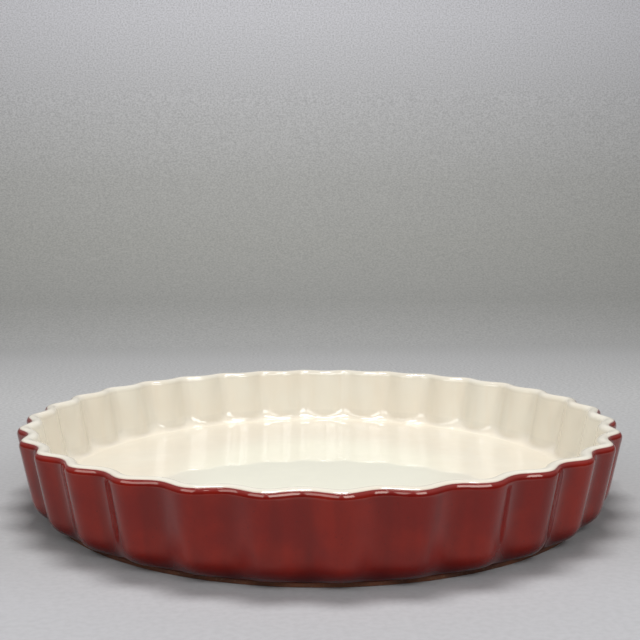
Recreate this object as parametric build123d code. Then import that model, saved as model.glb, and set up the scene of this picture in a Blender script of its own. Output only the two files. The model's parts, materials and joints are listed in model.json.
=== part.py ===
from build123d import *
import math
import os

# Fluted quiche dish, in millimetres, +Z up.
# The origin is on the table under the middle of the dish, and a flute crest lies on +X.
# The dish is one stoneware body under three glaze coats: cream inside and over the rim,
# red outside, and a clear one in the recess under the base. The foot ring is bare clay.

# Driving dimensions of the finished, glazed dish
overall_diameter = 280.0
overall_height = 38.0
flute_count = 32
flute_depth = 3.9
wall_draft = 11.0
wall_thickness = 6.2
floor_thickness = 6.9

# Rounding of the rim, outside and inside
rim_outer_radius = 3.0
rim_inner_radius = 3.0

# Rounding between wall and base, outside and inside
outer_corner_radius = 11.5
inner_corner_radius = 5.5

# Foot ring, which stands in from the flutes, and the recess inside it
foot_inset = 5.0
foot_ring_width = 6.0
foot_ring_height = 1.9
foot_edge_break = 0.4
recess_depth = 1.5

# Glaze coats, and how far below the top of the rim the red one starts
glaze_thickness = 0.4
glaze_parting_drop = 0.72

# How many sections a rounded stretch is lofted through
corner_section_count = 6
rim_section_count = 4

# Values worked out from the ones above
draft = math.radians(wall_draft)
parting_angle = math.asin(1 - glaze_parting_drop / rim_outer_radius)
flute_pitch = math.radians(360 / flute_count)
crest_radius = overall_diameter / 2
floor_level = recess_depth + floor_thickness
outer_round_radius_centre = crest_radius - rim_outer_radius
outer_round_level = overall_height - rim_outer_radius
inner_round_level = overall_height - rim_inner_radius


def outer_wall(level, coat):
    """Crest radius of the straight outer wall at a level, with a coat taken off it."""
    round_radius = rim_outer_radius - coat
    tangent_radius = outer_round_radius_centre + round_radius * math.cos(draft)
    tangent_level = outer_round_level - round_radius * math.sin(draft)
    return tangent_radius + (level - tangent_level) * math.tan(draft)


def inner_wall(level, coat):
    """Crest radius of the straight inner wall at a level, with a coat taken off it."""
    return outer_wall(level, 0) - wall_thickness + coat / math.cos(draft)


foot_radius = outer_wall(foot_ring_height, 0) - flute_depth / 2 - foot_inset
clay_foot_radius = foot_radius - glaze_thickness
recess_radius = clay_foot_radius - foot_ring_width
corner_reach = math.tan((math.pi / 2 - draft) / 2)
floor_radius = inner_wall(floor_level, 0) - flute_depth / 2 - inner_corner_radius * corner_reach
inner_round_tangent = inner_round_level + rim_inner_radius * math.sin(draft)
inner_round_radius_centre = inner_wall(inner_round_tangent, 0) + rim_inner_radius * math.cos(draft)


def polar(radius, angle, level):
    """Point at a radius, an angle in radians and a level."""
    return Vector(radius * math.cos(angle), radius * math.sin(angle), level)


def fluted_wire(level, crest, valley, inset):
    """Closed outline of one outward and one inward arc per flute, tangent to each other.

    The arcs of the driving wave meet on its mean circle, a quarter of a flute from the crest.
    The inset shrinks that wave at right angles to itself, which keeps a wall evenly thick.
    """
    mean = (crest + valley) / 2 + inset
    quarter = flute_pitch / 4
    sagitta = crest + inset - mean * math.cos(quarter)
    turn = 2 * math.atan2(sagitta, mean * math.sin(quarter))

    def junction(middle, side):
        return polar(mean, middle + side * quarter, level) - polar(inset, middle + side * turn, 0)

    edges = []
    for flute in range(flute_count):
        middle = flute * flute_pitch
        start = junction(middle, -1)
        meeting = junction(middle, 1)
        end = junction(middle + flute_pitch, -1)
        edges.append(Edge.make_three_point_arc(start, polar(crest, middle, level), meeting))
        groove_bottom = polar(valley, middle + flute_pitch / 2, level)
        edges.append(Edge.make_three_point_arc(meeting, groove_bottom, end))
    return Wire(edges)


def round_wire(level, radius):
    """Outline without flutes, with the same number of arcs."""
    return fluted_wire(level, radius, radius, 0)


def spaced(first, last, count):
    """Evenly spaced values from the first to the last, both included."""
    return [first + (last - first) * step / (count - 1) for step in range(count)]


def outer_corner_centre(wall_radius, foot):
    """Centre and level of the arc that leaves a wall line and ends at the foot circle."""
    reach = wall_radius - foot
    rise = math.sqrt(
        (reach * math.sin(draft)) ** 2 - reach**2 + 2 * outer_corner_radius * reach * math.cos(draft)
    ) - reach * math.sin(draft)
    radius = wall_radius + rise * math.sin(draft) - outer_corner_radius * math.cos(draft)
    level = foot_ring_height + rise * math.cos(draft) + outer_corner_radius * math.sin(draft)
    return radius, level


def outer_corner(level, wall_radius, foot):
    """Radius at a level of the outer wall line rounded under to the foot circle."""
    centre, centre_level = outer_corner_centre(wall_radius, foot)
    if level >= centre_level - outer_corner_radius * math.sin(draft):
        return wall_radius + (level - foot_ring_height) * math.tan(draft)
    return centre + math.sqrt(outer_corner_radius**2 - (level - centre_level) ** 2)


def inner_corner(level, wall_radius, coat):
    """Radius at a level of the inner wall line rounded into the floor circle."""
    bare_radius = (wall_radius - floor_radius) / corner_reach
    centre_level = floor_level + bare_radius
    radius = bare_radius + coat
    if level >= centre_level - radius * math.sin(draft):
        return wall_radius + coat / math.cos(draft) + (level - floor_level) * math.tan(draft)
    return floor_radius + math.sqrt(max(radius**2 - (centre_level - level) ** 2, 0))


def outer_corner_wires(coat):
    """Sections of the rounded foot of the outer wall, from the foot up."""
    foot = foot_radius - coat
    crest_line = outer_wall(foot_ring_height, coat)
    centre, centre_level = outer_corner_centre(crest_line, foot)
    foot_angle = math.asin((centre_level - foot_ring_height) / outer_corner_radius)
    wires = []
    for angle in spaced(foot_angle, draft, corner_section_count):
        level = centre_level - outer_corner_radius * math.sin(angle)
        crest = outer_corner(level, crest_line, foot)
        valley = outer_corner(level, crest_line - flute_depth, foot)
        wires.append(fluted_wire(level, crest, valley, coat / math.cos(draft)))
    return wires


def outer_round_wire(angle, coat):
    """Section of the outer rounding of the rim, at an angle above the level."""
    radius = rim_outer_radius - coat
    level = outer_round_level + radius * math.sin(angle)
    crest = outer_round_radius_centre + radius * math.cos(angle)
    return fluted_wire(level, crest, crest - flute_depth, outer_wall(level, 0) - crest)


def inner_round_wire(angle, coat):
    """Section of the inner rounding of the rim, at an angle above the level."""
    radius = rim_inner_radius - coat
    level = inner_round_level + radius * math.sin(angle)
    crest = inner_round_radius_centre - radius * math.cos(angle)
    return fluted_wire(level, crest, crest - flute_depth, outer_wall(level, 0) - crest)


def inner_corner_wires(coat):
    """Sections of the rounding between the floor and the inner wall, from the floor up."""
    crest_line = inner_wall(floor_level, 0)
    bare_radius = (crest_line - floor_radius) / corner_reach
    radius = bare_radius + coat
    wires = []
    for angle in spaced(math.pi / 2, draft, corner_section_count):
        level = floor_level + bare_radius - radius * math.sin(angle)
        crest = inner_corner(level, crest_line, coat)
        valley = inner_corner(level, crest_line - flute_depth, coat)
        wires.append(fluted_wire(level, crest, valley, wall_thickness - coat / math.cos(draft)))
    return wires


def smooth_faces(wires):
    """Faces of a smooth surface through several sections."""
    return Shell.make_loft(wires).faces()


def straight_faces(lower, upper):
    """Faces of straight lines between two sections."""
    return Shell.make_loft([lower, upper], ruled=True).faces()


def red_side(coat):
    """Faces and end sections of the outer wall, from the foot to the parting line."""
    corner = outer_corner_wires(coat)
    angles = spaced(-draft, parting_angle, rim_section_count)
    shoulder = [outer_round_wire(angle, coat) for angle in angles]
    faces = smooth_faces(corner) + straight_faces(corner[-1], shoulder[0]) + smooth_faces(shoulder)
    return faces, corner[0], shoulder[-1]


def cream_side(coat):
    """Faces from the parting line over the rim and down the inside, and their first section."""
    outer_angles = spaced(parting_angle, math.pi / 2, rim_section_count)
    outer_round = [outer_round_wire(angle, coat) for angle in outer_angles]
    inner_angles = spaced(draft, math.pi / 2, rim_section_count)
    inner_round = [inner_round_wire(angle, coat) for angle in inner_angles]
    corner = inner_corner_wires(coat)
    faces = smooth_faces(outer_round) + smooth_faces(inner_round)
    faces += [Face(outer_round[-1], [inner_round[-1]])]
    faces += straight_faces(corner[-1], inner_round[0]) + smooth_faces(corner) + [Face(corner[0])]
    return faces, outer_round[0]


def foot_faces():
    """Faces of the bare foot ring and of the recess inside it."""
    outside = round_wire(foot_ring_height, clay_foot_radius)
    outside_break = round_wire(foot_edge_break, clay_foot_radius)
    ring_outside = round_wire(0, clay_foot_radius - foot_edge_break)
    ring_inside = round_wire(0, recess_radius + foot_edge_break)
    inside_break = round_wire(foot_edge_break, recess_radius)
    recess_top = round_wire(recess_depth + glaze_thickness, recess_radius)
    faces = straight_faces(outside_break, outside) + straight_faces(ring_outside, outside_break)
    faces += [Face(ring_outside, [ring_inside])]
    faces += straight_faces(ring_inside, inside_break) + straight_faces(inside_break, recess_top)
    return faces + [Face(recess_top)]


# The clay's own surfaces are made once, because the body and its coats share them
clay_outside, clay_foot, clay_parting = red_side(glaze_thickness)
clay_inside, clay_rim_parting = cream_side(glaze_thickness)


def stoneware_body():
    """The fired clay: fluted wall, floor and foot ring in one piece."""
    return Solid(Shell(clay_outside + clay_inside + foot_faces()))


def red_outer_glaze():
    """Red coat on the outer wall, from the foot ring to the parting line."""
    glazed, glazed_foot, glazed_parting = red_side(0)
    ends = [Face(glazed_foot, [clay_foot])] + straight_faces(clay_parting, glazed_parting)
    return Solid(Shell(glazed + clay_outside + ends))


def cream_inner_glaze():
    """Cream coat over the rim, down the inner wall and across the floor."""
    glazed, glazed_parting = cream_side(0)
    return Solid(Shell(glazed + clay_inside + straight_faces(clay_rim_parting, glazed_parting)))


def base_recess_glaze():
    """Clear coat on the underside, inside the foot ring."""
    coat = Face(round_wire(recess_depth, recess_radius))
    return Solid.extrude(coat, Vector(0, 0, glaze_thickness))


os.makedirs("parts", exist_ok=True)
pieces = {
    "stoneware_body": stoneware_body(),
    "red_outer_glaze": red_outer_glaze(),
    "cream_inner_glaze": cream_inner_glaze(),
    "base_recess_glaze": base_recess_glaze(),
}
for name, piece in pieces.items():
    piece.label = name
    export_step(piece, f"parts/{name}.step")
    print(f"{name}: {piece.volume:.0f} mm3, valid {piece.is_valid}")
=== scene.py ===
"""Fluted quiche dish: glazed surfaces, finishes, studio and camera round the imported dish.

Every surface of the dish is a stack of level sections. A section is a wave round the dish: its radius
swings between a crest and a valley radius as a cosine of the angle, and it is then moved inwards at
right angles to itself, which keeps the wall evenly thick round each flute. Lengths are in metres.
"""

import json
import math

import bpy
import numpy as np
from mathutils import Matrix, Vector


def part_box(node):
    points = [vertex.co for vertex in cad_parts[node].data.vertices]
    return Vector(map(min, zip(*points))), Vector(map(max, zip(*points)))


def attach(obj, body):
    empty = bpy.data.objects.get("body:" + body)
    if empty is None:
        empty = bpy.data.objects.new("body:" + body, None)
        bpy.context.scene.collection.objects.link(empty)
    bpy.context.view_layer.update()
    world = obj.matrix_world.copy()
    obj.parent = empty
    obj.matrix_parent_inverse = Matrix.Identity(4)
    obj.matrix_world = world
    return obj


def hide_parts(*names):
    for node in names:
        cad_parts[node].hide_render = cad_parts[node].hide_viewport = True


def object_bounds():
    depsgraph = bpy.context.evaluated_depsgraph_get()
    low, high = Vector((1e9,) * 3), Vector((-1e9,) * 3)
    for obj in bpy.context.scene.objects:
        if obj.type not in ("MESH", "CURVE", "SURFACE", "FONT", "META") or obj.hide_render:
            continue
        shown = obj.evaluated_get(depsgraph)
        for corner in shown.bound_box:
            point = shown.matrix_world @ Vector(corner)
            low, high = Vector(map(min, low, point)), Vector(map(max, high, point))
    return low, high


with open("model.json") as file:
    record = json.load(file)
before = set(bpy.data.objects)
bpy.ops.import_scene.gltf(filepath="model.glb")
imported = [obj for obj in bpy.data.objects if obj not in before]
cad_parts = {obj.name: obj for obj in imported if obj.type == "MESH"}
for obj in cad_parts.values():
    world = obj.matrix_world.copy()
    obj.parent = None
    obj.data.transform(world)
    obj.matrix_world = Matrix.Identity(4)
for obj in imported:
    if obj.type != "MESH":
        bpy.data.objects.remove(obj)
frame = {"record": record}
cad_low, cad_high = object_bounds()
millimetre = 0.001

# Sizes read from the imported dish
mount_level = {mount["name"]: mount["pos_m"][2] for mount in frame["record"]["mounts"]}
red_low, red_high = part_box("red_outer_glaze")
recess_low, recess_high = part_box("base_recess_glaze")
cream_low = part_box("cream_inner_glaze")[0]
crest_radius = cad_high.x
overall_height = cad_high.z
floor_level = mount_level["baking_floor"]
foot_ring_height = red_low.z
parting_drop = overall_height - red_high.z
glaze_thickness = floor_level - cream_low.z
recess_radius = recess_high.x
recess_depth = recess_low.z

# Sizes of the flutes, walls and roundings
flute_count = 32
flute_depth = 3.9 * millimetre
wall_draft = 11.0
draft = math.radians(wall_draft)
wall_thickness = 6.2 * millimetre
rim_outer_radius = 3.0 * millimetre
rim_inner_radius = 3.0 * millimetre
outer_corner_radius = 11.5 * millimetre
inner_corner_radius = 5.5 * millimetre
foot_inset = 5.0 * millimetre
foot_edge_break = 0.4 * millimetre

# Fineness of the surfaces
columns_per_flute = 24
columns = flute_count * columns_per_flute
column_angles = np.arange(columns) * (2 * math.pi / columns)

# Number of sections in each stretch. The back of a coat lies out of sight, on the clay.
red_sections = {"corner": 14, "wall": 12, "shoulder": 12,
                "back_shoulder": 6, "back_wall": 3, "back_corner": 8}
cream_sections = {"floor": 16, "corner": 18, "wall": 10, "inner_round": 12, "outer_round": 8,
                  "back_outer_round": 6, "back_inner_round": 6, "back_wall": 3, "back_corner": 8}
clay_sections = {"recess": 10, "corner": 10, "wall": 4, "outer_round": 8, "inner_round": 8,
                 "inner_wall": 4, "inner_corner": 10, "floor": 8}
recess_sections = {"under": 10, "top": 6}

# Share of a disc's radius at which its innermost section lies
centre_share = 0.02

# How many times the sections inside are softened, where the cream glaze pools in the grooves, how many
# fewer each further section of the inner rounding gets, and how sharply the ridges are left out
groove_filling = 30
filling_step = 2
ridge_power = 2

# Waves in which the line between the glazes wanders: height as an angle on the rounding, number of waves
# round the dish, and where they start
parting_waves = ((0.022, 5, 0.4), (0.014, 13, 2.1), (0.01, 31, 5.0))

# Where the roundings lie
outer_round_centre = crest_radius - rim_outer_radius
outer_round_level = overall_height - rim_outer_radius
inner_round_level = overall_height - rim_inner_radius


def outer_wall(level, coat=0.0):
    """Crest radius of the straight outer wall at a level, with a coat taken off it."""
    round_radius = rim_outer_radius - coat
    tangent_radius = outer_round_centre + round_radius * math.cos(draft)
    tangent_level = outer_round_level - round_radius * math.sin(draft)
    return tangent_radius + (level - tangent_level) * math.tan(draft)


def inner_wall(level, coat=0.0):
    """Crest radius of the straight inner wall at a level, with a coat taken off it."""
    return outer_wall(level) - wall_thickness + coat / math.cos(draft)


foot_radius = outer_wall(foot_ring_height) - flute_depth / 2 - foot_inset
corner_reach = math.tan((math.pi / 2 - draft) / 2)
floor_radius = inner_wall(floor_level) - flute_depth / 2 - inner_corner_radius * corner_reach
inner_round_tangent = inner_round_level + rim_inner_radius * math.sin(draft)
inner_round_centre = inner_wall(inner_round_tangent) + rim_inner_radius * math.cos(draft)


def by_column(values):
    """Values of the sections as rows, one value or one for each column."""
    values = np.atleast_1d(values)
    return values if values.ndim == 2 else values[:, None]


def rings(level, crest, valley, inset):
    """Points of level sections, as an array of sections by columns by x, y, z.

    The wave's radius is crest + inset - depth * (1 - cos(flutes * angle)) / 2, with depth the crest
    radius minus the valley radius. Each point then moves inwards by the inset along the wave's own
    normal, whose tangential share is the slope of the radius over the angle.
    """
    values = [by_column(value) for value in (level, crest, valley, inset)]
    level, crest, valley, inset = np.broadcast_arrays(*values)
    depth = crest - valley
    wave = crest + inset - depth * (1 - np.cos(flute_count * column_angles)) / 2
    slope = -depth * flute_count * np.sin(flute_count * column_angles) / 2
    length = np.hypot(wave, slope)
    radial = wave - inset * wave / length
    sideways = inset * slope / length
    x = radial * np.cos(column_angles) - sideways * np.sin(column_angles)
    y = radial * np.sin(column_angles) + sideways * np.cos(column_angles)
    return np.stack([x, y, np.broadcast_to(level, x.shape)], axis=2)


def circles(level, radius):
    """Plain round sections."""
    return rings(level, radius, radius, 0.0)


def outer_corner(level, wall_radius, foot):
    """Radius at a level of a wall line rounded under to the foot circle, and the arc's centre level."""
    reach = wall_radius - foot
    slant = reach * math.sin(draft)
    rise = np.sqrt(slant**2 - reach**2 + 2 * outer_corner_radius * reach * math.cos(draft)) - slant
    centre = wall_radius + rise * math.sin(draft) - outer_corner_radius * math.cos(draft)
    centre_level = foot_ring_height + rise * math.cos(draft) + outer_corner_radius * math.sin(draft)
    arc = centre + np.sqrt(np.maximum(outer_corner_radius**2 - (level - centre_level) ** 2, 0))
    wall = wall_radius + (level - foot_ring_height) * math.tan(draft)
    radius = np.where(level >= centre_level - outer_corner_radius * math.sin(draft), wall, arc)
    return radius, centre_level


def inner_corner(level, wall_radius, coat):
    """Radius at a level of a wall line rounded into the floor circle, by an arc."""
    bare_radius = (wall_radius - floor_radius) / corner_reach
    centre_level = floor_level + bare_radius
    radius = bare_radius + coat
    arc = floor_radius + np.sqrt(np.maximum(radius**2 - (centre_level - level) ** 2, 0))
    wall = wall_radius + coat / math.cos(draft) + (level - floor_level) * math.tan(draft)
    return np.where(level >= centre_level - radius * math.sin(draft), wall, arc)


def outer_corner_rings(coat, steps):
    """Sections of the rounded foot of the outer wall, from the foot up, evenly spaced by angle."""
    foot = foot_radius - coat
    crest_line = outer_wall(foot_ring_height, coat)
    centre_level = outer_corner(foot_ring_height, crest_line, foot)[1]
    foot_angle = math.asin((centre_level - foot_ring_height) / outer_corner_radius)
    level = centre_level - outer_corner_radius * np.sin(np.linspace(foot_angle, draft, steps))
    crest = outer_corner(level, crest_line, foot)[0]
    valley = outer_corner(level, crest_line - flute_depth, foot)[0]
    return rings(level, crest, valley, coat / math.cos(draft))


def outer_round_rings(first, last, coat, steps):
    """Sections of the outer rounding of the rim between two angles above the level."""
    angle = np.linspace(first, last, steps)
    radius = rim_outer_radius - coat
    level = outer_round_level + radius * np.sin(angle)
    crest = outer_round_centre + radius * np.cos(angle)
    return rings(level, crest, crest - flute_depth, outer_wall(level) - crest)


def inner_round_rings(first, last, coat, steps):
    """Sections of the inner rounding of the rim between two angles above the level."""
    angle = np.linspace(first, last, steps)
    radius = rim_inner_radius - coat
    level = inner_round_level + radius * np.sin(angle)
    crest = inner_round_centre - radius * np.cos(angle)
    return rings(level, crest, crest - flute_depth, outer_wall(level) - crest)


def inner_corner_rings(coat, steps):
    """Sections of the rounding between the wall and the floor, from the wall down."""
    crest_line = inner_wall(floor_level)
    bare_radius = (crest_line - floor_radius) / corner_reach
    radius = bare_radius + coat
    level = floor_level + bare_radius - radius * np.sin(np.linspace(draft, math.pi / 2, steps))
    crest = inner_corner(level, crest_line, coat)
    valley = inner_corner(level, crest_line - flute_depth, coat)
    return rings(level, crest, valley, wall_thickness - coat / math.cos(draft))


def filled(stack, rounds):
    """Sections whose tight grooves a thick glaze fills.

    Every point moves to the mean of itself, counted twice, and its two neighbours in the section, time
    after time. The result counts in full in the middle of a groove and not at all on a ridge.
    """
    soft = stack
    for _ in range(rounds):
        soft = (np.roll(soft, 1, axis=1) + 2 * soft + np.roll(soft, -1, axis=1)) / 4
    share = (((1 + np.cos(flute_count * column_angles)) / 2) ** ridge_power)[:, None]
    return stack + share * (soft - stack)


def between(lower, upper, steps):
    """Sections in a straight line between the last section of one stack and the first of the next."""
    share = np.linspace(0, 1, steps + 2)[1:-1, None, None]
    return lower[-1] + (upper[0] - lower[-1]) * share


def shrunk(section, shares):
    """Copies of a section drawn in towards the axis, one for each share of its radius."""
    scale = np.array([[share, share, 1.0] for share in shares])[:, None, :]
    return section * scale


def centre_out(steps):
    """Shares from a disc's middle to its edge."""
    return np.linspace(centre_share, 1, steps)


def edge_in(steps):
    """Shares from next to a disc's edge to its middle."""
    return np.linspace(1, centre_share, steps)[1:]


def piece_from(name, stack, loop, poles, material):
    """Object made of a stack of sections.

    With loop, the last section joins the first, as in a ring. With poles, a centre point closes the
    first and the last section. The faces point outwards.
    """
    rows = len(stack)
    points = stack.reshape(-1, 3)
    column = np.arange(columns)
    following = (column + 1) % columns
    row = np.arange(rows - 1)[:, None]
    quads = np.stack([row * columns + column, row * columns + following,
                      (row + 1) * columns + following, (row + 1) * columns + column], axis=2)
    faces = quads.reshape(-1, 4).tolist()
    if loop:
        last = (rows - 1) * columns
        faces += np.stack([last + column, last + following, following, column], axis=1).tolist()
    if poles:
        ends = np.array([[0, 0, stack[0, 0, 2]], [0, 0, stack[-1, 0, 2]]])
        points = np.concatenate([points, ends])
        last = (rows - 1) * columns
        first_pole = np.full(columns, rows * columns)
        last_pole = first_pole + 1
        faces += np.stack([following, column, first_pole], axis=1).tolist()
        faces += np.stack([last + column, last + following, last_pole], axis=1).tolist()
    mesh = bpy.data.meshes.new(name)
    mesh.from_pydata(points, [], faces)
    mesh.validate()
    mesh.shade_smooth()
    around = np.arctan2(points[:, 1], points[:, 0])
    swell = mesh.attributes.new("flute_swell", "FLOAT", "POINT")
    swell.data.foreach_set("value", (1 + np.cos(flute_count * around)) / 2)
    mesh.update()
    piece = bpy.data.objects.new(name, mesh)
    bpy.context.scene.collection.objects.link(piece)
    mesh.materials.append(material)
    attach(piece, "root")
    return piece


# Octaves of detail in the soft noise, and the value in its middle
plain_detail = 1.0
soft_detail = 2.0
rich_detail = 3.0
full_detail = 4.0
noise_middle = 0.5


def new_material(name):
    """Node material with a Principled shader."""
    material = bpy.data.materials.new(name)
    material.use_nodes = True
    tree = material.node_tree
    return material, tree, tree.nodes["Principled BSDF"]


def feed(tree, socket, value):
    """Link a socket to another one, or set it to a plain value."""
    if isinstance(value, bpy.types.NodeSocket):
        tree.links.new(value, socket)
    else:
        socket.default_value = value


def place_on_piece(tree, stretch=(1, 1, 1)):
    """Object coordinates, scaled. A stretch below 1 along an axis draws a pattern out along it."""
    source = tree.nodes.new("ShaderNodeTexCoord")
    mapping = tree.nodes.new("ShaderNodeMapping")
    mapping.inputs["Scale"].default_value = stretch
    tree.links.new(source.outputs["Object"], mapping.inputs["Vector"])
    return mapping.outputs["Vector"]


def clouds(tree, grain, detail, stretch=(1, 1, 1)):
    """Soft noise whose clouds are about one grain wide, with finer octaves as the detail says."""
    node = tree.nodes.new("ShaderNodeTexNoise")
    node.inputs["Scale"].default_value = 1 / grain
    node.inputs["Detail"].default_value = detail
    tree.links.new(place_on_piece(tree, stretch), node.inputs["Vector"])
    return node.outputs[0]


def sums(tree, operation, first, second):
    """Result of one operation on two values, such as ADD or MULTIPLY."""
    node = tree.nodes.new("ShaderNodeMath")
    node.operation = operation
    feed(tree, node.inputs[0], first)
    feed(tree, node.inputs[1], second)
    return node.outputs[0]


def eased(tree, value, band, shares=(0.0, 1.0)):
    """Value that goes smoothly from the first share to the last while another one crosses a band."""
    node = tree.nodes.new("ShaderNodeMapRange")
    node.interpolation_type = "SMOOTHSTEP"
    feed(tree, node.inputs["Value"], value)
    for socket, number in zip(("From Min", "From Max", "To Min", "To Max"), (*band, *shares)):
        node.inputs[socket].default_value = number
    return node.outputs[0]


def pattern(tree, grain, detail, band, shares=(0.0, 1.0), stretch=(1, 1, 1)):
    """Soft noise of which only a band shows."""
    return eased(tree, clouds(tree, grain, detail, stretch), band, shares)


def tinted(tree, share, first, second):
    """Mix of two colours. The node has sockets for each kind of data, so these are picked by kind."""
    node = tree.nodes.new("ShaderNodeMix")
    node.data_type = "RGBA"
    feed(tree, node.inputs["Factor"], share)
    sockets = [socket for socket in node.inputs if socket.type == "RGBA"]
    feed(tree, sockets[0], first)
    feed(tree, sockets[1], second)
    return [socket for socket in node.outputs if socket.type == "RGBA"][0]


def level_on_piece(tree, waver, grain):
    """Height above the table, made to waver by soft noise."""
    split = tree.nodes.new("ShaderNodeSeparateXYZ")
    tree.links.new(place_on_piece(tree), split.inputs[0])
    either_way = sums(tree, "SUBTRACT", clouds(tree, grain, soft_detail), noise_middle)
    return sums(tree, "ADD", split.outputs["Z"], sums(tree, "MULTIPLY", either_way, waver))


def way_from_axis(tree):
    """Distance from the dish's axis."""
    node = tree.nodes.new("ShaderNodeVectorMath")
    node.operation = "LENGTH"
    tree.links.new(place_on_piece(tree, (1, 1, 0)), node.inputs[0])
    return node.outputs["Value"]


def facing_out(tree):
    """Distance from the dish's axis times the share of the normal that points away from the axis.

    It is negative where the surface faces the axis.
    """
    source = tree.nodes.new("ShaderNodeTexCoord")
    node = tree.nodes.new("ShaderNodeVectorMath")
    node.operation = "DOT_PRODUCT"
    tree.links.new(place_on_piece(tree, (1, 1, 0)), node.inputs[0])
    tree.links.new(source.outputs["Normal"], node.inputs[1])
    return node.outputs["Value"]


def flute_swell(tree):
    """1 along the flutes' crests and 0 along the grooves between them."""
    node = tree.nodes.new("ShaderNodeAttribute")
    node.attribute_name = "flute_swell"
    return node.outputs["Fac"]


def uneven(tree, shader, height, depth):
    """Relief in the surface, from a height pattern and its full depth."""
    node = tree.nodes.new("ShaderNodeBump")
    node.inputs["Distance"].default_value = depth
    feed(tree, node.inputs["Height"], height)
    tree.links.new(node.outputs["Normal"], shader.inputs["Normal"])


# Colours of the glazes and the clay
deep_red = (0.203, 0.004, 0.002, 1)
warm_red = (0.27, 0.0085, 0.002, 1)
maroon = (0.12, 0.004, 0.0035, 1)
# Painted shade: maroon for the foot of the red wall, where it turns down to the table
foot_shade_maroon = (0.055, 0.0025, 0.0035, 1)
parting_line_red = (0.12, 0.008, 0.009, 1)
# Painted light: lighter pink red on the top of the red, where the rounding faces up, partly the cream
# thinning over it
lit_shoulder_red = (0.3, 0.055, 0.05, 1)
red_reflection_tint = (1, 0.9, 0.8, 1)
pale_cream = (0.865, 0.818, 0.705, 1)
warm_cream = (0.85, 0.772, 0.64, 1)
# Painted light: paler cream for the middle of the floor
floor_light_cream = (0.935, 0.915, 0.77, 1)
blushed_cream = (0.6, 0.3, 0.25, 1)
clay_brown = (0.24, 0.09, 0.045, 1)
clay_dark = (0.12, 0.045, 0.025, 1)
clay_fleck = (0.3, 0.18, 0.11, 1)

# Line between the glazes, as a level
parting = overall_height - parting_drop

# Red glaze. A pattern has the width of its clouds, their detail, the band of the noise that shows and the
# shares at the band's two ends. A zone has a band of levels, or of the flutes' swell, and the shares.
red_mottle = {"grain": 21 * millimetre, "detail": full_detail, "band": (0.36, 0.66)}
red_streaks = {"grain": 9 * millimetre, "detail": soft_detail, "band": (0.45, 0.75), "shares": (0.0, 0.4),
               "stretch": (1, 1, 0.07)}
red_specks = {"grain": 0.9 * millimetre, "detail": plain_detail, "band": (0.68, 0.76), "shares": (0.0, 0.5)}
red_roughness = {"grain": 12 * millimetre, "detail": rich_detail, "band": (0.3, 0.7),
                 "shares": (0.06, 0.12)}
red_relief = {"grain": 4 * millimetre, "detail": soft_detail}
red_relief_depth = 0.02 * millimetre
red_waver = {"waver": 2.5 * millimetre, "grain": 12 * millimetre}
parting_waver = {"waver": 0.3 * millimetre, "grain": 6 * millimetre}
red_pools = {"band": (0.3, 0.0), "shares": (0.0, 0.25)}
# Painted shade: the red darkens towards the table
red_foot_shade = {"band": (12 * millimetre, 2 * millimetre), "shares": (0.0, 0.85)}
# Painted light: the band just under the cream is made lighter and pinker
red_shoulder_light = {"band": (parting - 1.6 * millimetre, parting - 0.3 * millimetre), "shares": (0.0, 0.7)}
red_line = {"band": (parting - 0.35 * millimetre, parting - 0.2 * millimetre), "shares": (0.0, 0.25)}
red_sheen = {"band": (2 * millimetre, 12 * millimetre), "shares": (0.1, 0.5)}
red_bead = {"band": (overall_height - 3.4 * millimetre, overall_height - 2.4 * millimetre),
            "shares": (0.0, 0.45)}

# Cream glaze, with zones by level, by the way from the axis and by how far the surface faces out. It is
# glossier where it lies thick: on the floor, in the corner round it and in the bead along the rim. It
# ripples in the corner only.
cream_mottle = {"grain": 35 * millimetre, "detail": rich_detail, "band": (0.35, 0.68), "shares": (0.0, 0.6)}
cream_runs = {"grain": 6 * millimetre, "detail": soft_detail, "band": (0.5, 0.75), "shares": (0.0, 0.5),
              "stretch": (1, 1, 0.08)}
cream_roughness = {"grain": 20 * millimetre, "detail": rich_detail, "band": (0.3, 0.7),
                   "shares": (0.015, 0.04)}
wall_roughness = 0.06
cream_ripples = {"grain": 3 * millimetre, "detail": plain_detail}
cream_swells = {"grain": 12 * millimetre, "detail": plain_detail}
cream_swell_share = 0.015
cream_relief_depth = 0.1 * millimetre
cream_waver = {"waver": 2 * millimetre, "grain": 15 * millimetre}
cream_pool = {"band": (floor_level + 5 * millimetre, floor_level + 1 * millimetre), "shares": (0.0, 0.5)}
cream_pool_rise = {"band": (floor_level - 1.5 * millimetre, floor_level + 0.8 * millimetre)}
cream_wet = {"band": (floor_level + 7 * millimetre, floor_level + 5 * millimetre)}
cream_wet_rise = {"band": (floor_level - 1 * millimetre, floor_level + 0.5 * millimetre)}
cream_bead = {"band": (overall_height - 3.6 * millimetre, overall_height - 2.4 * millimetre)}
cream_gloss_range = {"band": (0.0, 1.0), "shares": (0.5, 1.0)}
# Painted light: the middle of the floor is made paler
cream_floor_light = {"band": (85 * millimetre, 45 * millimetre)}
cream_past_floor = {"band": (floor_radius - 1 * millimetre, floor_radius + 1 * millimetre)}
cream_blush = {"band": (0.055, 0.092), "shares": (0.0, 0.45)}

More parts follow.
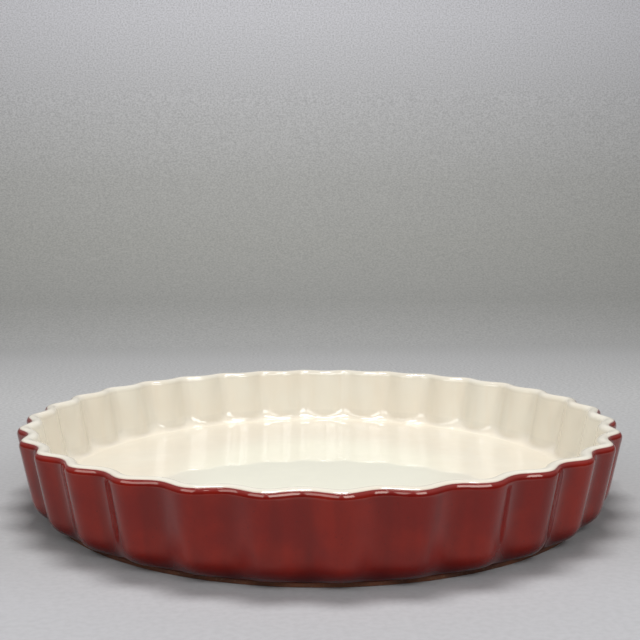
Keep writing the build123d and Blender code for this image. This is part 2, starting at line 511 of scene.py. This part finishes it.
# Bare clay, and the clear glaze over it
clay_mottle = {"grain": 12 * millimetre, "detail": full_detail, "band": (0.35, 0.65)}
clay_flecks = {"grain": 0.7 * millimetre, "detail": soft_detail, "band": (0.6, 0.72), "shares": (0.0, 0.7)}
clay_roughness = {"grain": 3 * millimetre, "detail": soft_detail, "band": (0.3, 0.7),
                  "shares": (0.75, 0.95)}
clay_relief = {"grain": 0.8 * millimetre, "detail": rich_detail}
clay_relief_depth = 0.12 * millimetre
clear_mottle = {"grain": 30 * millimetre, "detail": full_detail, "band": (0.3, 0.75), "shares": (0.0, 0.4)}
clear_pinholes = {"grain": 1.1 * millimetre, "detail": plain_detail, "band": (0.68, 0.74),
                  "shares": (0.0, 0.8)}
clear_roughness = {"grain": 10 * millimetre, "detail": rich_detail, "band": (0.3, 0.7),
                   "shares": (0.15, 0.32)}
clear_relief = {"grain": 3 * millimetre, "detail": rich_detail}
clear_relief_depth = 0.06 * millimetre


def red_gloss():
    """Brick red gloss glaze: mottled, with upright streaks and dark in the grooves. Painted shade darkens
    it towards the foot, and painted light makes it pinker just under the cream, where the rounding faces up
    and the cream thins over it.
    """
    material, tree, shader = new_material("brick_red_gloss")
    colour = tinted(tree, pattern(tree, **red_mottle), deep_red, warm_red)
    colour = tinted(tree, pattern(tree, **red_streaks), colour, maroon)
    colour = tinted(tree, eased(tree, flute_swell(tree), **red_pools), colour, maroon)
    level = level_on_piece(tree, **red_waver)
    # Painted shade: darker maroon towards the foot, where the wall turns down to the table
    colour = tinted(tree, eased(tree, level, **red_foot_shade), colour, foot_shade_maroon)
    edge = level_on_piece(tree, **parting_waver)
    # Painted light just under the cream, where the rounding faces up, partly the cream thinning over the
    # red
    colour = tinted(tree, eased(tree, edge, **red_shoulder_light), colour, lit_shoulder_red)
    colour = tinted(tree, eased(tree, edge, **red_line), colour, parting_line_red)
    colour = tinted(tree, pattern(tree, **red_specks), colour, maroon)
    gloss = sums(tree, "ADD", eased(tree, level, **red_sheen), eased(tree, level, **red_bead))
    feed(tree, shader.inputs["Base Color"], colour)
    feed(tree, shader.inputs["Roughness"], pattern(tree, **red_roughness))
    feed(tree, shader.inputs["Specular IOR Level"], gloss)
    shader.inputs["Specular Tint"].default_value = red_reflection_tint
    uneven(tree, shader, clouds(tree, **red_relief), red_relief_depth)
    return material


def cream_gloss():
    """Cream gloss glaze: paler in the middle of the floor as painted light, warm where it pools at the
    floor's edge and runs down the wall, and pink where it thins out over the rim's outer edge.
    """
    material, tree, shader = new_material("cream_gloss")
    level = level_on_piece(tree, **cream_waver)
    way = way_from_axis(tree)
    past_floor = eased(tree, way, **cream_past_floor)
    colour = tinted(tree, pattern(tree, **cream_mottle), pale_cream, warm_cream)
    pooled = sums(tree, "MULTIPLY", eased(tree, level, **cream_pool), eased(tree, level, **cream_pool_rise))
    colour = tinted(tree, pooled, colour, warm_cream)
    colour = tinted(tree, pattern(tree, **cream_runs), colour, warm_cream)
    # Painted light: the middle of the floor is made paler, standing in for the light it catches
    colour = tinted(tree, eased(tree, way, **cream_floor_light), colour, floor_light_cream)
    colour = tinted(tree, eased(tree, facing_out(tree), **cream_blush), colour, blushed_cream)
    on_wall = sums(tree, "MULTIPLY", past_floor, wall_roughness)
    wet = sums(tree, "MULTIPLY", eased(tree, level, **cream_wet), eased(tree, level, **cream_wet_rise))
    thick = sums(tree, "ADD", wet, eased(tree, level, **cream_bead))
    ripples = sums(tree, "MULTIPLY", sums(tree, "MULTIPLY", wet, past_floor), clouds(tree, **cream_ripples))
    swells = sums(tree, "MULTIPLY", clouds(tree, **cream_swells), cream_swell_share)
    feed(tree, shader.inputs["Base Color"], colour)
    feed(tree, shader.inputs["Roughness"], sums(tree, "ADD", pattern(tree, **cream_roughness), on_wall))
    feed(tree, shader.inputs["Specular IOR Level"], eased(tree, thick, **cream_gloss_range))
    uneven(tree, shader, sums(tree, "ADD", ripples, swells), cream_relief_depth)
    return material


def bare_clay():
    """Bare fired clay: rough, finely grained, with pale flecks and darker wiped patches."""
    material, tree, shader = new_material("bare_fired_clay")
    colour = tinted(tree, pattern(tree, **clay_mottle), clay_dark, clay_brown)
    colour = tinted(tree, pattern(tree, **clay_flecks), colour, clay_fleck)
    feed(tree, shader.inputs["Base Color"], colour)
    feed(tree, shader.inputs["Roughness"], pattern(tree, **clay_roughness))
    uneven(tree, shader, clouds(tree, **clay_relief), clay_relief_depth)
    return material


def clear_gloss_over_clay():
    """Thin clear glaze over the clay of the base: softly mottled, with fine pinholes."""
    material, tree, shader = new_material("clear_gloss_over_clay")
    colour = tinted(tree, pattern(tree, **clear_mottle), clay_brown, clay_fleck)
    colour = tinted(tree, pattern(tree, **clear_pinholes), colour, clay_dark)
    feed(tree, shader.inputs["Base Color"], colour)
    feed(tree, shader.inputs["Roughness"], pattern(tree, **clear_roughness))
    uneven(tree, shader, clouds(tree, **clear_relief), clear_relief_depth)
    return material


# Angle on the outer rounding at which the red glaze gives way to the cream one, for each column
parting_wander = sum(
    height * np.sin(count * column_angles + start) for height, count, start in parting_waves
)
parting_angle = math.asin(1 - parting_drop / rim_outer_radius) + parting_wander


def make_red_glaze():
    """Red coat, from the foot ring up the outside to the parting line, and its back on the clay."""
    steps = red_sections
    corner = outer_corner_rings(0.0, steps["corner"])
    shoulder = outer_round_rings(-draft, parting_angle, 0.0, steps["shoulder"])
    wall = between(corner, shoulder, steps["wall"])
    back_shoulder = outer_round_rings(parting_angle, -draft, glaze_thickness, steps["back_shoulder"])
    back_corner = outer_corner_rings(glaze_thickness, steps["back_corner"])[::-1]
    back_wall = between(back_shoulder, back_corner, steps["back_wall"])
    stack = np.concatenate([corner, wall, shoulder, back_shoulder, back_wall, back_corner])
    piece = piece_from("red_glaze_coat", stack, True, False, red_gloss())
    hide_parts("red_outer_glaze")


def make_cream_glaze():
    """Cream coat, from the floor's middle over the rim to the parting line, and its back on the clay."""
    steps = cream_sections
    floor_shares = centre_out(steps["floor"])[:-1]
    corner = filled(inner_corner_rings(0.0, steps["corner"])[::-1], groove_filling)
    inner_round = inner_round_rings(draft, math.pi / 2, 0.0, steps["inner_round"])
    for row, section in enumerate(inner_round[:-1]):
        inner_round[row] = filled(section[None], groove_filling - filling_step * row)[0]
    wall = between(corner, inner_round, steps["wall"])
    outer_round = outer_round_rings(math.pi / 2, parting_angle, 0.0, steps["outer_round"])
    front = [shrunk(corner[0], floor_shares), corner, wall, inner_round, outer_round]
    back_outer = outer_round_rings(parting_angle, math.pi / 2, glaze_thickness, steps["back_outer_round"])
    back_inner = inner_round_rings(math.pi / 2, draft, glaze_thickness, steps["back_inner_round"])
    back_corner = inner_corner_rings(glaze_thickness, steps["back_corner"])
    back_wall = between(back_inner, back_corner, steps["back_wall"])
    back = [back_outer, back_inner, back_wall, back_corner, shrunk(back_corner[-1], floor_shares[::-1])]
    stack = np.concatenate(front + back)
    piece = piece_from("cream_glaze_coat", stack, False, True, cream_gloss())
    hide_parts("cream_inner_glaze")


def make_clay_body():
    """Bare clay, from the recess over the foot ring, the outer wall and the rim to the floor's middle."""
    steps = clay_sections
    coat = glaze_thickness
    clay_foot = foot_radius - coat
    recess_top = circles(recess_depth + coat, recess_radius)
    recess = shrunk(recess_top[0], centre_out(steps["recess"]))
    foot_levels = np.array([foot_edge_break, 0, 0, foot_edge_break])
    ring_inside = recess_radius + foot_edge_break
    ring_outside = clay_foot - foot_edge_break
    foot = circles(foot_levels, np.array([recess_radius, ring_inside, ring_outside, clay_foot]))
    corner = outer_corner_rings(coat, steps["corner"])
    outer_round = outer_round_rings(-draft, math.pi / 2, coat, steps["outer_round"])
    wall = between(corner, outer_round, steps["wall"])
    inner_round = inner_round_rings(math.pi / 2, draft, coat, steps["inner_round"])
    inner_corner_stack = inner_corner_rings(coat, steps["inner_corner"])
    inner_wall_stack = between(inner_round, inner_corner_stack, steps["inner_wall"])
    floor = shrunk(inner_corner_stack[-1], edge_in(steps["floor"]))
    outside = [recess, foot, corner, wall, outer_round]
    inside = [inner_round, inner_wall_stack, inner_corner_stack, floor]
    stack = np.concatenate(outside + inside)
    piece = piece_from("clay_body", stack, False, True, bare_clay())
    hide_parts("stoneware_body")


def make_recess_glaze():
    """Thin clear coat under the base, inside the foot ring."""
    steps = recess_sections
    under = circles(recess_depth, recess_radius)
    top = circles(recess_depth + glaze_thickness, recess_radius)
    stack = np.concatenate([shrunk(under[0], centre_out(steps["under"])), top,
                            shrunk(top[0], edge_in(steps["top"]))])
    piece = piece_from("recess_glaze_coat", stack, False, True, clear_gloss_over_clay())
    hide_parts("base_recess_glaze")


# Camera: its lens in millimetres, where it stands, how it is turned in radians, and how the frame sits
# round its axis
camera_lens = 49.4
camera_distance = 0.42296
camera_height = 0.12086
camera_pitch = 0.09095
camera_yaw = 0.0164
camera_roll = -0.0046
camera_azimuth = 0.0627
frame_shift = (0.0267, 0.0008)
nearest_seen = 0.01


def make_camera():
    """Camera in front of the dish, a little above the rim, turned down by its pitch."""
    data = bpy.data.cameras.new("camera")
    data.lens = camera_lens
    data.shift_x, data.shift_y = frame_shift
    data.clip_start = nearest_seen
    camera = bpy.data.objects.new("camera", data)
    bpy.context.scene.collection.objects.link(camera)
    place = Matrix.Translation((0, -camera_distance, camera_height))
    turn = Matrix.Rotation(camera_yaw, 4, "Z") @ Matrix.Rotation(math.pi / 2 - camera_pitch, 4, "X")
    roll = Matrix.Rotation(camera_roll, 4, "Z")
    camera.matrix_world = Matrix.Rotation(-camera_azimuth, 4, "Z") @ place @ turn @ roll
    bpy.context.scene.camera = camera


# Studio: a floor that sweeps up into a wall behind the dish, two soft lamps in front and one above
sweep_start = 0.55
sweep_radius = 0.35
sweep_half_width = 2.5
sweep_front = -2.5
sweep_top = 1.8
sweep_sections = 24

# Paper: the way back and up to a place in metres, its grey there and how blue it is, from table to wall.
# The greys are painted light: they stand in for how the lamps' light falls off along the sheet, darker
# beside the dish and at the foot of the wall and brighter towards its top.
paper_painted_light = (
    (-0.135, 0.512, 1.03), (-0.076, 0.451, 1.01), (0.055, 0.495, 1.01), (0.238, 0.613, 1.0),
    (0.463, 0.609, 1.0), (0.614, 0.558, 0.98), (0.76, 0.457, 0.955), (0.934, 0.524, 0.945),
    (1.08, 0.595, 0.965), (1.19, 0.709, 1.0), (1.28, 0.821, 1.03), (1.35, 0.9, 1.045),
)

# Grain of the paper, which is weaker close to the camera, and the paper's finish
paper_fibre = (0.2, 0.2, 0.2, 1)
paper_grain = {"grain": 2 * millimetre, "detail": full_detail, "band": (0.3, 0.75), "shares": (0.0, 0.38),
               "stretch": (0.8, 1, 1)}
paper_grain_by_way = {"band": (-0.05, 0.3), "shares": (0.32, 1.0)}
paper_roughness = 0.9
paper_gloss = 0.1

world_colour = (0.07, 0.07, 0.07, 1)
lamp_target = (0.0, 0.0, 0.03)
lamp_distance = 1.1

# Lamps: degrees round and up from the dish, width and height in metres, and watts
lamps = {
    "left_softbox": {"azimuth": -39.5, "elevation": 36.0, "size": (0.97, 0.44), "power": 3.0},
    "right_softbox": {"azimuth": 27.0, "elevation": 36.0, "size": (0.67, 0.44), "power": 3.9},
    "overhead_softbox": {"azimuth": 0.0, "elevation": 88.0, "size": (0.5, 0.26), "power": 8.4},
}


def make_backdrop():
    """Sheet of paper: flat floor, quarter round and upright wall, as one extruded profile."""
    angle = np.linspace(0, math.pi / 2, sweep_sections)
    along = np.concatenate([[sweep_front, 0.0], sweep_start + sweep_radius * np.sin(angle),
                            [sweep_start + sweep_radius]])
    up = np.concatenate([[0.0, 0.0], sweep_radius * (1 - np.cos(angle)), [sweep_top]])
    left = np.stack([np.full_like(along, -sweep_half_width), along, up], axis=1)
    right = left * np.array([-1, 1, 1])
    count = len(along)
    faces = [(i, count + i, count + i + 1, i + 1) for i in range(count - 1)]
    mesh = bpy.data.meshes.new("paper_sweep")
    mesh.from_pydata(np.concatenate([left, right]), [], faces)
    mesh.shade_smooth()
    sweep = bpy.data.objects.new("paper_sweep", mesh)
    bpy.context.scene.collection.objects.link(sweep)
    material, tree, shader = new_material("pale_grey_paper")
    split = tree.nodes.new("ShaderNodeSeparateXYZ")
    tree.links.new(place_on_piece(tree), split.inputs[0])
    way = sums(tree, "ADD", split.outputs["Y"], split.outputs["Z"])
    first, last = paper_painted_light[0][0], paper_painted_light[-1][0]
    # The ramp paints the fall-off of light along the sheet
    shade = tree.nodes.new("ShaderNodeValToRGB")
    stops = shade.color_ramp.elements
    for number, (place, grey, blue) in enumerate(paper_painted_light):
        stop = stops[number] if number < len(stops) else stops.new(1.0)
        stop.position = (place - first) / (last - first)
        stop.color = (grey, grey, grey * blue, 1)
    share = sums(tree, "DIVIDE", sums(tree, "SUBTRACT", way, first), last - first)
    feed(tree, shade.inputs[0], share)
    by_way = eased(tree, way, **paper_grain_by_way)
    grain = sums(tree, "MULTIPLY", pattern(tree, **paper_grain), by_way)
    feed(tree, shader.inputs["Base Color"], tinted(tree, grain, shade.outputs[0], paper_fibre))
    shader.inputs["Roughness"].default_value = paper_roughness
    shader.inputs["Specular IOR Level"].default_value = paper_gloss
    mesh.materials.append(material)


def make_lamps():
    """Soft lamps turned towards the dish. Azimuth 0 is the camera's side, positive to its right."""
    for name, lamp in lamps.items():
        data = bpy.data.lights.new(name, "AREA")
        data.shape = "RECTANGLE"
        data.size, data.size_y = lamp["size"]
        data.energy = lamp["power"]
        softbox = bpy.data.objects.new(name, data)
        bpy.context.scene.collection.objects.link(softbox)
        around = Matrix.Rotation(math.radians(lamp["azimuth"]) - camera_azimuth, 4, "Z")
        upward = Matrix.Rotation(math.radians(90 - lamp["elevation"]), 4, "X")
        away = Matrix.Translation((0, 0, lamp_distance))
        softbox.matrix_world = Matrix.Translation(lamp_target) @ around @ upward @ away


def make_world():
    """Even dim light from all round."""
    world = bpy.data.worlds.new("studio")
    bpy.context.scene.world = world
    world.use_nodes = True
    world.node_tree.nodes["Background"].inputs["Color"].default_value = world_colour


make_clay_body()
make_red_glaze()
make_cream_glaze()
make_recess_glaze()
make_backdrop()
make_lamps()
make_world()
make_camera()
bpy.context.scene.view_settings.view_transform = "Standard"
